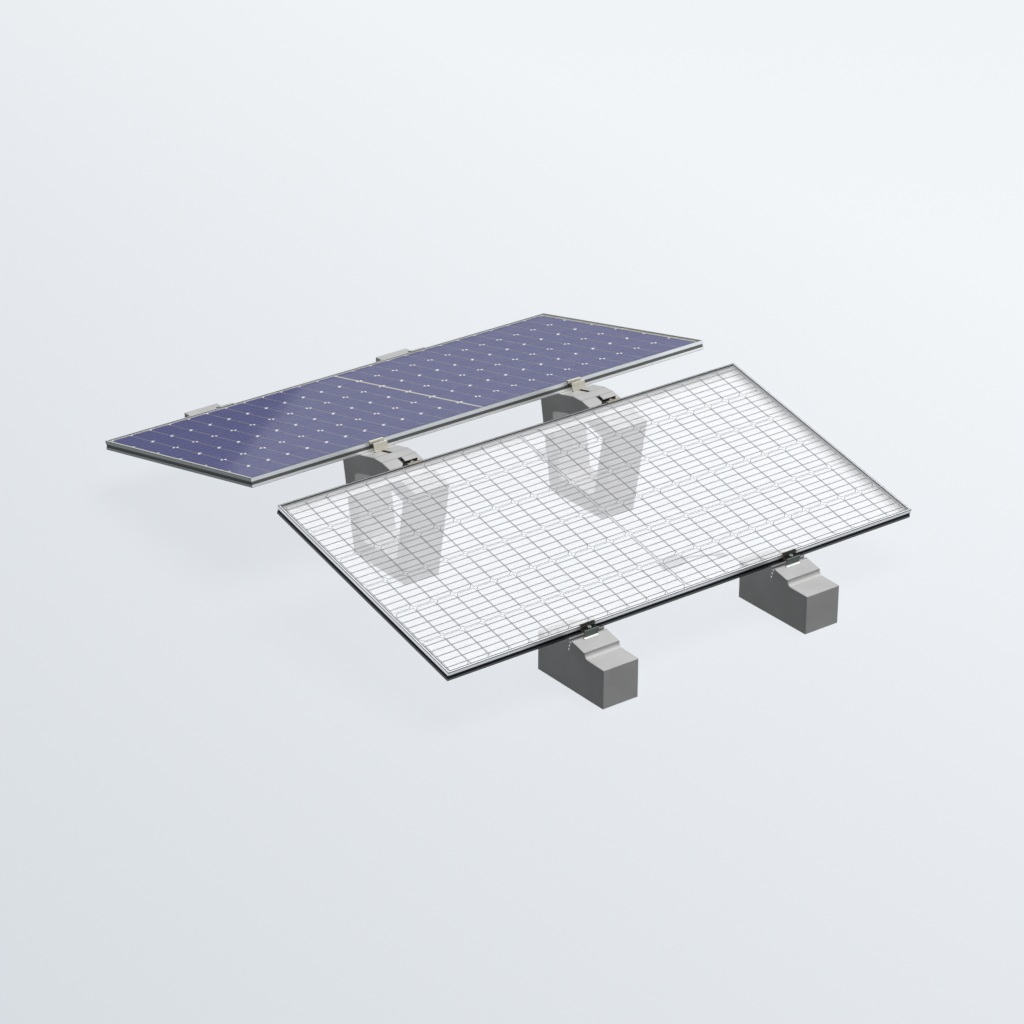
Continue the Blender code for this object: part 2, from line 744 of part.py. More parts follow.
def clamp_mesh(name):
    """A folded clamp. Its origin is the module's top edge, and -Y points away from the module."""
    web = -FIT_GAP
    web_out = web - CLAMP_SHEET
    leg_out = -CLAMP_LEG_REACH
    leg_in = leg_out + CLAMP_SHEET
    lip_top = FIT_GAP + CLAMP_SHEET
    foot_top = CLAMP_FOOT_THICKNESS - MODULE_DEPTH
    foot_end = leg_out - CLAMP_FOOT_REACH
    bend = CLAMP_BEND
    outline = rounded([
        (CLAMP_LIP_REACH, FIT_GAP, 0),
        (CLAMP_LIP_REACH, lip_top, bend),
        (web_out, lip_top, bend),
        (web_out, CLAMP_FLOOR_TOP, 0),
        (leg_in, CLAMP_FLOOR_TOP, 0),
        (leg_in, -CLAMP_LEG_DROP, 0),
        (leg_out, -CLAMP_LEG_DROP, bend),
        (leg_out, foot_top, bend),
        (foot_end, foot_top, bend),
        (foot_end, -MODULE_DEPTH, 0),
        (leg_in, -MODULE_DEPTH, 0),
        (leg_in, -CLAMP_FLOOR_DEPTH, bend),
        (web, -CLAMP_FLOOR_DEPTH, 0),
        (web, FIT_GAP, 0),
    ])
    return prism_along_x(name, [outline], CLAMP_LENGTH)


def drilled(name, source, tool):
    """A mesh cut by another one."""
    body = loose(name, source)
    tool_object = cutter(name + "_tool", tool)
    combine(body, tool_object, "DIFFERENCE")
    mesh = baked(body)
    bpy.data.objects.remove(tool_object, do_unlink=True)
    return mesh


def bolt_mesh(name):
    """A socket-head screw. z = 0 is the module's top."""
    under_head = CLAMP_FLOOR_TOP + FIT_GAP
    head_top = under_head + BOLT_HEAD_HEIGHT
    end = NUT_TOP - NUT_HEIGHT - BOLT_END_SPARE
    blank = baked(turned(name, [(0, head_top), (BOLT_HEAD_RADIUS, head_top), (BOLT_HEAD_RADIUS, under_head),
                                (BOLT_RADIUS, under_head), (BOLT_RADIUS, end), (0, end)]))
    socket = cylinder_mesh(name, BOLT_SOCKET_RADIUS, head_top - BOLT_SOCKET_DEPTH, head_top + CUT_OVERRUN, 6)
    return drilled(name, blank, socket)


def nut_mesh(name):
    """A square nut with its top under the anchor rail's lips."""
    blank = box_mesh(name, (NUT_SIDE, NUT_SIDE, NUT_HEIGHT))
    blank.transform(Matrix.Translation((0, 0, NUT_TOP - NUT_HEIGHT / 2)))
    return drilled(name, blank, cylinder_mesh(name, BOLT_RADIUS + FIT_GAP, NUT_TOP - NUT_HEIGHT - CUT_OVERRUN,
                                              NUT_TOP + CUT_OVERRUN))


def clamp_frames():
    """Name, side, place and turn of each clamp in its module's frame. Its origin is the frame's top edge."""
    frames = []
    for prefix, side in (("front", -1), ("rear", 1)):
        for label, local_x in zip(("left", "right"), block_places(side)):
            low = (local_x, side * MODULE_WIDTH / 2, MODULE_DEPTH)
            ridge = (local_x, -side * MODULE_WIDTH / 2, MODULE_DEPTH)
            low_turn = 0 if side < 0 else HALF_TURN
            frames.append((prefix + "_" + label + "_low", side, low, low_turn))
            frames.append((prefix + "_" + label + "_ridge", side, ridge, HALF_TURN - low_turn))
    return frames


def build_clamps(bases):
    """The clamps with their bolts and nuts. Like pieces share one mesh."""
    hole = cylinder_mesh("bolt_hole", BOLT_HOLE_RADIUS, -MODULE_DEPTH, CLAMP_FLOOR_TOP + CUT_OVERRUN)
    on_axis = Matrix.Translation((0, -BOLT_OFFSET, 0))
    hole.transform(on_axis)
    clamp = drilled("clamp", clamp_mesh("clamp"), hole)
    bolt = bolt_mesh("bolt")
    shade_round(bolt)
    nut = nut_mesh("nut")
    for mesh in (bolt, nut):
        mesh.transform(on_axis)
    for name, side, spot, turn in clamp_frames():
        for label, mesh in (("_clamp", clamp), ("_bolt", bolt), ("_channel_nut", nut)):
            place(name + label, mesh.copy(), steel(name + label), bases[side], spot, turn)


def main():
    """Build the whole mount."""
    clear_scene()
    new_collection(PART_COLLECTION)
    new_collection(CUTTER_COLLECTION)
    bases = {-1: build_module("front", -1, True), 1: build_module("rear", 1, False)}
    for label, x in zip(("left", "right"), BLOCK_CENTRES):
        build_arch_block(label + "_arch", x, bases)
        for prefix, side in (("front", -1), ("rear", 1)):
            name = prefix + "_" + label + "_low"
            build_low_block(name, low_block_mesh(name), side, bases[side], x, x - side * MODULE_STAGGER / 2)
    build_clamps(bases)


main()
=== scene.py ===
import math

import bpy
import bmesh
from mathutils import Euler, Matrix, Vector


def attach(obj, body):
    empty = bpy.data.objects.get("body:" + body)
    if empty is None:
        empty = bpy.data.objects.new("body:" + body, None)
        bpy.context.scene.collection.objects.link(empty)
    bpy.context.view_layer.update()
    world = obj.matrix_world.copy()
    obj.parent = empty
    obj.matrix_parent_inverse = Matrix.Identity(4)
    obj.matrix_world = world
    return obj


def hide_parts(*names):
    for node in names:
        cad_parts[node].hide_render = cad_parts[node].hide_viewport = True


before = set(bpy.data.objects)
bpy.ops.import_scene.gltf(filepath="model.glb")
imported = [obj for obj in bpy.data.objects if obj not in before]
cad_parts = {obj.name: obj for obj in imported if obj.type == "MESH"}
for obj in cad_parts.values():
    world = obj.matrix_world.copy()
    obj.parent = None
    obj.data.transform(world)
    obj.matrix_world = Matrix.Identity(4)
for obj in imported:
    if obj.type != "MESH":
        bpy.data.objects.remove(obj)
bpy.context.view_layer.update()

BLACK = (0.0, 0.0, 0.0)
WHITE = (1.0, 1.0, 1.0)

# Where the solids have the modules, in radians and metres
TILT = math.radians(12.7)
MODULE_LENGTH = 2.094
MODULE_WIDTH = 1.038
MODULE_DEPTH = 0.035
MODULE_STAGGER = 0.045
RIDGE_HALF_GAP = 0.112
FIT_GAP = 0.0003

# Frame, glass and sheet
FRAME_LIP_REACH = 0.0095
FRAME_LIP_THICKNESS = 0.0015
GLASS_THICKNESS = 0.0032
CELL_RELIEF = 0.0004
SHEET_TOP = MODULE_DEPTH - FRAME_LIP_THICKNESS - GLASS_THICKNESS - CELL_RELIEF - 2 * FIT_GAP
CELL_TOP = SHEET_TOP + CELL_RELIEF

# Half cells, in rows along the module and in columns on both sides of its middle
CELL_LENGTH = 0.083
CELL_WIDTH = 0.166
CELL_CORNER = 0.0125
CELL_PITCH = 0.0855
COLUMN_GAP = 0.0025
COLUMNS_PER_HALF = 12
ROW_PITCH = 0.1697
ROWS = 6
CENTRE_GAP = 0.011
COLUMNS_REACH = CENTRE_GAP / 2 + COLUMNS_PER_HALF * CELL_PITCH
ROWS_REACH = ROW_PITCH * ROWS / 2

# Ribbons along the cells and across their ends, and the cells' rims, with heights above what they lie on
BUSBARS = 5
BUSBAR_PITCH = 0.0315
BUSBAR_CENTRE_END = 0.0035
BUSBAR_HEIGHTS = (0.00004, 0.00016)
RIM_HEIGHTS = (0.00004, 0.00012)
COLLECTOR_HEIGHTS = (0.0001, 0.0003)
COLLECTOR_START = 0.001
COLLECTOR_END = 0.006
COLLECTOR_CENTRE_HALF = 0.0030
COLLECTOR_MARGIN = 0.02

# Cast blocks, and the anchor rail of a low block
BLOCK_WIDTH = 0.153
BLOCK_OFFSET = 0.457
ARCH_HEIGHT = 0.4403
ARCH_CROWN_HALF = 0.025
LOW_SEAT_EDGE = 1.2135
LOW_SEAT_EDGE_HEIGHT = 0.1725
STEM_BULBS_MIDDLE = 0.0315
STEM_BULBS_HALF_PITCH = 0.0075
STEM_BULB_RADIUS = 0.0028

# Leads of the front module. The routes are offsets from the place where a lead leaves its gland.
LEAD_RADIUS = 0.003
LEAD_STEPS = 4
LEAD_SIDES = 16
LEAD_START = (0.102, 0.360186, 0.0192)
LOW_LEAD_ROUTE = ((0.0003, 0, 0), (0.020, 0, -0.001), (0.050, -0.001, -0.006), (0.085, -0.003, -0.013),
                  (0.120, -0.005, -0.022), (0.152, -0.007, -0.031))
HIGH_LEAD_ROUTE = ((0.0003, 0, 0), (0.016, 0, -0.0005), (0.034, 0.003, -0.002), (0.050, 0.014, -0.004),
                   (0.058, 0.030, -0.007), (0.060, 0.046, -0.010))


def linked(name, data):
    """A new object in the scene."""
    made = bpy.data.objects.new(name, data)
    bpy.context.scene.collection.objects.link(made)
    return made


def module_matrix(side):
    """Where a module's own frame stands. side is -1 in front and 1 behind."""
    reach = RIDGE_HALF_GAP + MODULE_WIDTH / 2 * math.cos(TILT)
    seat = ARCH_HEIGHT - (RIDGE_HALF_GAP - ARCH_CROWN_HALF) * math.tan(TILT)
    height = seat - MODULE_WIDTH / 2 * math.sin(TILT) + FIT_GAP / math.cos(TILT)
    turn = Euler((-side * TILT, 0, 0)).to_matrix().to_4x4()
    return Matrix.Translation((side * MODULE_STAGGER / 2, side * reach, height)) @ turn


def smooth_route(points):
    """Points of a smooth curve through the route's own points."""
    route = []
    last = len(points) - 1
    for index in range(last):
        before = points[max(index - 1, 0)]
        start = points[index]
        end = points[index + 1]
        after = points[min(index + 2, last)]
        for step in range(LEAD_STEPS):
            t = step / LEAD_STEPS
            route.append(0.5 * (2 * start + (end - before) * t
                                + (2 * before - 5 * start + 4 * end - after) * t ** 2
                                + (3 * (start - end) + after - before) * t ** 3))
    route.append(points[last])
    return route


def tube(name, route):
    """A closed round tube along a route."""
    cage = bmesh.new()
    rings = []
    across = Vector((0, 0, 1))
    last = len(route) - 1
    for index, spot in enumerate(route):
        ahead = (route[min(index + 1, last)] - route[max(index - 1, 0)]).normalized()
        across = (across - ahead * across.dot(ahead)).normalized()
        other = ahead.cross(across)
        ring = []
        for side in range(LEAD_SIDES):
            turn = math.tau * side / LEAD_SIDES
            outward = across * math.cos(turn) + other * math.sin(turn)
            ring.append(cage.verts.new(spot + outward * LEAD_RADIUS))
        rings.append(ring)
    for low, high in zip(rings, rings[1:]):
        for side in range(LEAD_SIDES):
            after = (side + 1) % LEAD_SIDES
            cage.faces.new((low[side], low[after], high[after], high[side])).smooth = True
    cage.faces.new(list(reversed(rings[0])))
    cage.faces.new(rings[-1])
    mesh = bpy.data.meshes.new(name)
    cage.to_mesh(mesh)
    cage.free()
    return linked(name, mesh)


def lead(name, side, offsets, connector):
    """A lead of the front module, from its gland to its connector.

    side is -1 on the low box and 1 on the high one.
    """
    matrix = module_matrix(-1)
    start = Vector((LEAD_START[0], side * LEAD_START[1], LEAD_START[2]))
    route = [matrix @ spot for spot in smooth_route([start + Vector(offset) for offset in offsets])]
    piece = tube(name, route)
    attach(piece, "root")
    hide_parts("front_" + connector.split("_")[1] + "_lead")
    return piece


# Camera
camera = bpy.data.cameras.new("camera")
camera.lens = 126.676
camera.sensor_width = 36
camera.clip_end = 200
view = linked("camera", camera)
view.location = (-7.2988, -9.6708, 5.9694)
view.rotation_euler = [math.radians(turn) for turn in (64.0457, -0.2562, -37.1192)]
bpy.context.scene.camera = view

# Leads of the front module
low_lead = lead("low_lead", -1, LOW_LEAD_ROUTE, "front_low_connector")
high_lead = lead("high_lead", 1, HIGH_LEAD_ROUTE, "front_high_connector")

# The usual range of a noise
NOISE_LOW = 0.3
NOISE_HIGH = 0.7

# Sockets of a Mix node that mixes colours. They share their names with its other sockets.
MIX_SHARE = 0
MIX_FIRST = 6
MIX_SECOND = 7
MIX_RESULT = 2


class Nodes:
    """Short calls for the nodes of a material or of the world."""

    def __init__(self, owner, shader):
        owner.use_nodes = True
        self.owner = owner
        self.tree = owner.node_tree
        self.shader = self.tree.nodes[shader]

    def add(self, kind):
        return self.tree.nodes.new("ShaderNode" + kind)

    def put(self, node, key, value):
        """Link a socket, or set it itself where the value is plain."""
        socket = node.inputs[key]
        if isinstance(value, bpy.types.NodeSocket):
            self.tree.links.new(value, socket)
        else:
            socket.default_value = value

    def shade(self, **values):
        """Values of the shader, with underscores for the spaces in their names."""
        for key, value in values.items():
            self.put(self.shader, key.replace("_", " "), value)

    def place(self, matrix=None):
        """Object coordinates, or those of a tilted frame."""
        spot = self.add("TexCoord").outputs["Object"]
        if matrix is None:
            return spot
        mapping = self.add("Mapping")
        mapping.vector_type = "TEXTURE"
        self.put(mapping, "Vector", spot)
        self.put(mapping, "Location", matrix.translation)
        self.put(mapping, "Rotation", matrix.to_euler())
        return mapping.outputs["Vector"]

    def split(self, vector):
        node = self.add("SeparateXYZ")
        self.put(node, "Vector", vector)
        return node.outputs

    def join(self, x, y, z):
        node = self.add("CombineXYZ")
        for key, value in (("X", x), ("Y", y), ("Z", z)):
            self.put(node, key, value)
        return node.outputs["Vector"]

    def math(self, operation, a, b=0.0, c=0.0):
        node = self.add("Math")
        node.operation = operation
        for index, value in enumerate((a, b, c)):
            self.put(node, index, value)
        return node.outputs["Value"]

    def minus(self, a, b):
        return self.math("SUBTRACT", a, b)

    def times(self, a, b):
        return self.math("MULTIPLY", a, b)

    def absolute(self, a):
        return self.math("ABSOLUTE", a)

    def above(self, a, b):
        return self.math("GREATER_THAN", a, b)

    def below(self, a, b):
        return self.math("LESS_THAN", a, b)

    def toward(self, parts, direction):
        """How far a point lies along a direction, from the point's own parts."""
        total = self.times(parts[-1], direction[-1])
        for part, share in reversed(list(zip(parts[:-1], direction[:-1]))):
            total = self.math("MULTIPLY_ADD", part, share, total)
        return total

    def noise(self, vector, scale, detail, rough=0.5):
        node = self.add("TexNoise")
        self.put(node, "Vector", vector)
        self.put(node, "Scale", scale)
        self.put(node, "Detail", detail)
        self.put(node, "Roughness", rough)
        return node.outputs["Fac"]

    def streaks(self, vector, scale):
        """Noise that is drawn out along one axis."""
        stretch = self.add("Mapping")
        self.put(stretch, "Vector", vector)
        self.put(stretch, "Scale", scale)
        return self.noise(stretch.outputs["Vector"], scale=1.0, detail=2.0)

    def white(self, vector):
        node = self.add("TexWhiteNoise")
        self.put(node, "Vector", vector)
        return node.outputs["Value"]

    def spots(self, vector, scale):
        node = self.add("TexVoronoi")
        self.put(node, "Vector", vector)
        self.put(node, "Scale", scale)
        return node.outputs["Distance"]

    def span(self, value, low, high, to_low=0.0, to_high=1.0):
        """Map low and high to new values, and keep what is outside at those."""
        node = self.add("MapRange")
        for index, number in enumerate((value, low, high, to_low, to_high)):
            self.put(node, index, number)
        return node.outputs["Result"]

    def vary(self, noise, to_low=0.0, to_high=1.0):
        """Map a noise's usual range to new values."""
        return self.span(noise, NOISE_LOW, NOISE_HIGH, to_low, to_high)

    def mix(self, share, a, b):
        """A colour between two, each a plain colour or a socket."""
        node = self.add("Mix")
        node.data_type = "RGBA"
        self.put(node, MIX_SHARE, share)
        for index, value in ((MIX_FIRST, a), (MIX_SECOND, b)):
            self.put(node, index, value if isinstance(value, bpy.types.NodeSocket) else (*value, 1.0))
        return node.outputs[MIX_RESULT]

    def bump(self, height, strength, distance):
        node = self.add("Bump")
        self.put(node, "Height", height)
        self.put(node, "Strength", strength)
        self.put(node, "Distance", distance)
        self.put(self.shader, "Normal", node.outputs["Normal"])

    def seen(self):
        """1 for the camera, a reflection or a view through glass, and 0 where it only gives light."""
        rays = self.add("LightPath").outputs
        direct = self.math("MAXIMUM", rays["Is Camera Ray"], rays["Is Glossy Ray"])
        return self.math("MAXIMUM", direct, rays["Is Transmission Ray"])


def material_nodes(name):
    """The nodes of a new material."""
    return Nodes(bpy.data.materials.new(name), "Principled BSDF")


# Scale of the rolling marks, and a dark edge line's solid half width and its depth below the edge
ROLLING_MARKS = (9.0, 420.0, 420.0)
LINE_HALF = 0.0010
LINE_DEPTH = 0.003


def edge_line(n, y, z, reach, height, fade_end, strength):
    """How dark a line is along the edges of a level top, at the same reach on both sides of the ridge."""
    on_top = n.above(z, height - LINE_DEPTH)
    off_edge = n.absolute(n.minus(n.absolute(y), reach))
    return n.times(on_top, n.span(off_edge, LINE_HALF, fade_end, strength, 0.0))


def concrete():
    """Cast concrete: pale grey, with soft blotches, grit, small pores and dark lines along two edges."""
    dark = (0.49, 0.49, 0.485)
    pale = (0.55, 0.55, 0.545)
    grit_tone = (0.36, 0.36, 0.355)
    pore_tone = (0.20, 0.20, 0.195)
    line_tone = (0.10, 0.10, 0.10)
    n = material_nodes("cast_concrete")
    spot = n.place()
    blotch = n.noise(spot, scale=9.0, detail=3.0)
    grit = n.noise(spot, scale=420.0, detail=2.0, rough=0.7)
    base = n.mix(n.span(blotch, 0.35, 0.68), dark, pale)
    base = n.mix(n.span(grit, 0.38, 0.62, 0.0, 0.20), base, grit_tone)
    hole = n.span(n.spots(spot, scale=70.0), 0.05, 0.12, 1.0, 0.0)
    chance = n.span(n.noise(spot, scale=31.0, detail=1.0), 0.56, 0.60)
    pit = n.times(hole, chance)
    base = n.mix(n.times(pit, 0.55), base, pore_tone)
    _, y, z = n.split(spot)
    crown_line = edge_line(n, y, z, ARCH_CROWN_HALF, ARCH_HEIGHT, 0.0026, 0.5)
    seat_line = edge_line(n, y, z, LOW_SEAT_EDGE, LOW_SEAT_EDGE_HEIGHT, 0.0028, 0.6)
    base = n.mix(n.math("MAXIMUM", crown_line, seat_line), base, line_tone)
    n.shade(Base_Color=base, Roughness=n.vary(grit, 0.31, 0.40), Specular_IOR_Level=0.34)
    n.bump(n.minus(n.times(grit, 0.35), pit), strength=0.15, distance=0.0008)
    return n.owner


def stepped(n, height, tones):
    """A colour that changes with height. The tones are start heights with their colours, going up."""
    colour = tones[0][1]
    for start, tone in tones[1:]:
        colour = n.mix(n.above(height, start), colour, tone)
    return colour


# Where the frame's faces are told apart, in from its outer sides and up from its underside
FRAME_OUTER_FACES = 0.0024
FRAME_LIP_EDGE = 0.0333
FRAME_LIP_TOP = 0.0343
GRAIN_ALONG = {"x": (6.0, 500.0, 500.0), "y": (500.0, 6.0, 500.0)}


def frame_alloy_with_painted_shade(name, matrix, along, tones):
    """Extruded aluminium with a fine grain along its length, toned by where a face lies on the profile. The
    tones are painted light and shade: dark bands in the groove, a dark wall under the lip and a dark line at
    the lip's inner edge.
    """
    n = material_nodes(name)
    spot = n.place(matrix)
    grain = n.streaks(spot, GRAIN_ALONG[along])
    cloud = n.noise(spot, scale=5.0, detail=2.0)
    x, y, height = n.split(spot)
    in_x = n.minus(MODULE_LENGTH / 2, n.absolute(x))
    in_y = n.minus(MODULE_WIDTH / 2, n.absolute(y))
    inward = n.math("MINIMUM", in_x, in_y)
    outer = stepped(n, height, tones["outer"])
    inner = stepped(n, height, tones["inner"])
    colour = n.mix(n.above(inward, FRAME_OUTER_FACES), outer, inner)
    colour = n.mix(n.above(height, FRAME_LIP_TOP), colour, tones["lip"])
    on_lip = n.above(height, FRAME_LIP_EDGE)
    # Dark line at the lip's inner edge: painted shade where the lip meets the glass.
    lip_line = n.times(on_lip, n.above(inward, FRAME_LIP_REACH - tones["lip_line"]))
    colour = n.mix(lip_line, colour, tones["line"])
    outer_line = n.times(on_lip, n.below(inward, tones["outer_line"]))
    colour = n.mix(outer_line, colour, tones["line"])
    base = n.mix(n.vary(grain, 0.0, 0.10), colour, BLACK)
    base = n.mix(n.vary(cloud, 0.0, 0.04), base, BLACK)
    n.shade(Base_Color=base, Roughness=n.span(grain, 0.2, 0.8, 0.34, 0.48), Metallic=0.92)
    n.bump(grain, strength=0.08, distance=0.0003)
    return n.owner


def arch_rail():
    """Near-black rails on the arches, their dark tone painted shade of their slots, with faint rolling
    marks.
    """
    pale = (0.035, 0.035, 0.036)
    dark = (0.028, 0.028, 0.0288)
    n = material_nodes("arch_rail_painted_shade")
    spot = n.place()
    grain = n.streaks(spot, ROLLING_MARKS)
    cloud = n.noise(spot, scale=40.0, detail=3.0)
    base = n.mix(n.vary(grain), dark, pale)
    base = n.mix(n.span(cloud, 0.4, 0.7, 0.0, 0.3), base, dark)
    n.shade(Base_Color=base, Roughness=n.vary(cloud, 0.43, 0.57), Metallic=0.3)
    n.bump(grain, strength=0.15, distance=0.0002)
    return n.owner


def off_block_middle(n, x, side):
    """How far a point lies from the middle of its block, along a module."""
    off_mount_middle = n.absolute(n.math("ADD", x, (side + 1) * MODULE_STAGGER / 2))
    return n.absolute(n.minus(off_mount_middle, BLOCK_OFFSET))


# Where a clamp's faces are told apart, out from the module's side and up from the module's underside,
# and for its end faces out from the clamp's own middle
CLAMP_WEB_FACE = 0.0026
CLAMP_LEG_FACE = 0.0240
CLAMP_TROUGH_LOW = 0.0200
CLAMP_FOOT_START = 0.0262
CLAMP_FOOT_TOP = 0.0040
CLAMP_LIP_FACE = 0.0372
CLAMP_END_FACE = 0.0308


def clamp_sheet(name, matrix, look):
    """Pressed clamp sheet: faint rolling marks, and a tone for each of its faces, which paints its light and
    shade.
    """
    n = material_nodes(name)
    spot = n.place(matrix)
    x, y, z = n.split(spot)
    grain = n.streaks(spot, ROLLING_MARKS)
    cloud = n.noise(spot, scale=40.0, detail=3.0)
    outward = n.minus(n.absolute(y), MODULE_WIDTH / 2)
    between_webs = n.times(n.above(outward, CLAMP_WEB_FACE), n.below(outward, CLAMP_LEG_FACE))
    at_trough_height = n.times(n.above(z, CLAMP_TROUGH_LOW), n.below(z, look["trough_top"]))
    foot = n.times(n.above(outward, CLAMP_FOOT_START), n.below(z, CLAMP_FOOT_TOP))
    # Trough between the webs: painted shade.
    tone = n.mix(n.times(at_trough_height, between_webs), look["face"], look["trough"])
    # Foot: painted light and shade, set in each clamp's look.
    tone = n.mix(foot, tone, look["foot"])
    # Lip top: its own tone, painted shade on the front low clamps.
    tone = n.mix(n.above(z, CLAMP_LIP_FACE), tone, look["lip"])
    # End faces: painted light and shade, set in each clamp's look.
    tone = n.mix(n.above(off_block_middle(n, x, look["side"]), CLAMP_END_FACE), tone, look["end"])
    base = n.mix(n.vary(grain, 0.14, 0.0), tone, BLACK)
    base = n.mix(n.span(cloud, 0.4, 0.7, 0.0, 0.08), base, BLACK)
    n.shade(Base_Color=base, Roughness=n.vary(cloud, 0.46, 0.58), Metallic=0.45,
            Specular_IOR_Level=look["specular"])
    n.bump(grain, strength=0.12, distance=0.0002)
    return n.owner


def low_rail(name, side):
    """Drawn rail of a low block, its grey darkened as painted shade of its slot, with a painted highlight on
    its stem's end where its two round ribs show.
    """
    dark = (0.28, 0.283, 0.287)
    pale = (0.34, 0.345, 0.35)
    end_depth = 0.0010
    n = material_nodes(name)
    spot = n.place(module_matrix(side))
    x, _, z = n.split(spot)
    grain = n.streaks(spot, ROLLING_MARKS)
    tone = n.mix(n.vary(grain), dark, pale)
    at_end = n.above(off_block_middle(n, x, side), BLOCK_WIDTH / 2 - end_depth)
    off_ribs_middle = n.absolute(n.math("ADD", z, STEM_BULBS_MIDDLE))
    off_rib = n.absolute(n.minus(off_ribs_middle, STEM_BULBS_HALF_PITCH))
    # Painted highlight: white on the ends of the two round ribs.
    rib_end_highlight = n.times(at_end, n.below(off_rib, STEM_BULB_RADIUS))
    n.shade(Base_Color=n.mix(rib_end_highlight, tone, WHITE), Metallic=n.span(rib_end_highlight, 0.0, 1.0, 0.5, 0.95),
            Roughness=n.vary(grain, 0.32, 0.44))
    n.bump(grain, strength=0.15, distance=0.0002)
    return n.owner


def stainless():
    """Bright stainless steel with turning marks."""
    dark = (0.42, 0.42, 0.41)
    pale = (0.58, 0.58, 0.56)
    n = material_nodes("stainless")
    marks = n.streaks(n.place(), (300.0, 300.0, 2600.0))
    n.shade(Base_Color=n.mix(n.vary(marks), dark, pale),
            Roughness=n.vary(marks, 0.22, 0.36), Metallic=0.95)
    n.bump(marks, strength=0.1, distance=0.0002)
    return n.owner


def moulded(name, colour, roughness, alpha=1.0):
    """Moulded plastic with a fine spark-eroded grain."""
    half_range = 0.08
    n = material_nodes(name)
    grain = n.noise(n.place(), scale=1500.0, detail=2.0)
    pale = tuple(channel * 1.7 + 0.01 for channel in colour)
    n.shade(Base_Color=n.mix(n.span(grain, 0.35, 0.7), colour, pale), Alpha=alpha,
            Roughness=n.vary(grain, roughness - half_range, roughness + half_range))
    n.bump(grain, strength=0.25, distance=0.0003)
    return n.owner


def front_glass(name, matrix, alpha):
    """Tempered glass: smooth, with a very faint rolled texture."""
    dark = (0.95, 0.96, 0.98)
    pale = (0.9785, 0.9888, 1.0)
    n = material_nodes(name)
    roll = n.noise(n.place(matrix), scale=320.0, detail=1.0)
    n.shade(Base_Color=n.mix(n.vary(roll), dark, pale),
            Roughness=n.vary(roll, 0.02, 0.04), Alpha=alpha, IOR=1.5)
    return n.owner


# Fingers of a cell: their pitch, the share of it that they take, and how much they show
FINGER_PITCH = 0.0018
FINGER_SHARE = 0.05
FINGER_STRENGTH = 0.03

# Half widths of the lines and the crossings between cells, the reach of the dots beside a line,
# and how far the tone of the sheet's rim reaches in over the outer cells' places
COLUMN_LINE_HALF = 0.00130
ROW_LINE_HALF = 0.00190
CROSS_HALF = 0.0053
DOTS_START = 0.0024
DOTS_END = 0.0085
RIM_END_OVERLAP = 0.002
RIM_SIDE_OVERLAP = 0.003


def crossing(n, x, along, off_row, off_column, tones):
    """1 where clipped cell corners meet and the bare sheet shows.

    Where not every crossing is whole, every other one shows as two dots beside the column's line.
    """
    at_cross = n.times(n.below(off_row, tones["cross_reach"]), n.below(off_column, CROSS_HALF))
    if tones["every_cross"]:
        return at_cross
    odd = n.math("PINGPONG", n.math("FLOOR", n.math("ADD", along, 0.5)), 1.0)
    whole = n.absolute(n.minus(odd, n.below(x, 0.0)))
    beside = n.times(n.above(off_column, DOTS_START), n.below(off_column, DOTS_END))
    return n.math("ADD", n.times(at_cross, whole), n.times(beside, n.minus(1.0, whole)))


def cell_sheet(name, matrix, tones, alpha, line_alpha):
    """The sheet with the cells: fine fingers on each cell, and the sheet seen in the gaps between them."""
    n = material_nodes(name)
    spot = n.place(matrix)
    x, y, z = n.split(spot)
    on_cell = n.above(z, SHEET_TOP + CELL_RELIEF / 2)
    across = n.math("DIVIDE", n.minus(n.absolute(x), CENTRE_GAP / 2), CELL_PITCH)
    along = n.math("DIVIDE", y, ROW_PITCH)
    own_tone = n.white(n.join(n.math("FLOOR", across), n.math("FLOOR", along), n.math("SIGN", x)))
    crystal = n.noise(spot, scale=30.0, detail=2.0)
    cell = n.mix(own_tone, tones["cell_dark"], tones["cell"])
    cell = n.mix(n.span(crystal, 0.4, 0.65, 0.0, 0.04), cell, tones["cell_dark"])
    finger = n.below(n.math("FRACT", n.math("DIVIDE", x, FINGER_PITCH)), FINGER_SHARE)
    cell = n.mix(n.times(finger, FINGER_STRENGTH), cell, tones["finger"])
    off_row = n.math("PINGPONG", y, ROW_PITCH / 2)
    from_half = n.times(n.math("FRACT", n.math("ADD", across, 0.5)), CELL_PITCH)
    off_column = n.absolute(n.math("ADD", n.minus(from_half, CELL_PITCH / 2), COLUMN_GAP / 2))
    clear_of_cross = n.minus(1.0, crossing(n, x, along, off_row, off_column, tones))
    in_column_gap = n.times(n.below(off_column, COLUMN_LINE_HALF), clear_of_cross)
    in_row_gap = n.times(n.below(off_row, ROW_LINE_HALF), clear_of_cross)
    gap = n.mix(in_column_gap, tones["sheet"], tones["column_gap"])
    gap = n.mix(in_row_gap, gap, tones["row_gap"])
    past_rows = n.above(n.absolute(y), ROWS_REACH - RIM_SIDE_OVERLAP)
    past_columns = n.above(n.absolute(x), COLUMNS_REACH - RIM_END_OVERLAP)
    gap = n.mix(n.math("MAXIMUM", past_rows, past_columns), gap, tones["edge"])
    n.shade(Base_Color=n.mix(on_cell, gap, cell), Roughness=n.vary(crystal, 0.30, 0.40),
            Specular_IOR_Level=0.0, Coat_Weight=tones["coat"], Coat_Roughness=0.03)
    if line_alpha == alpha:
        n.shade(Alpha=alpha)
    else:
        line = n.times(in_column_gap, n.minus(1.0, on_cell))
        n.shade(Alpha=n.span(line, 0.0, 1.0, alpha, line_alpha))
    return n.owner


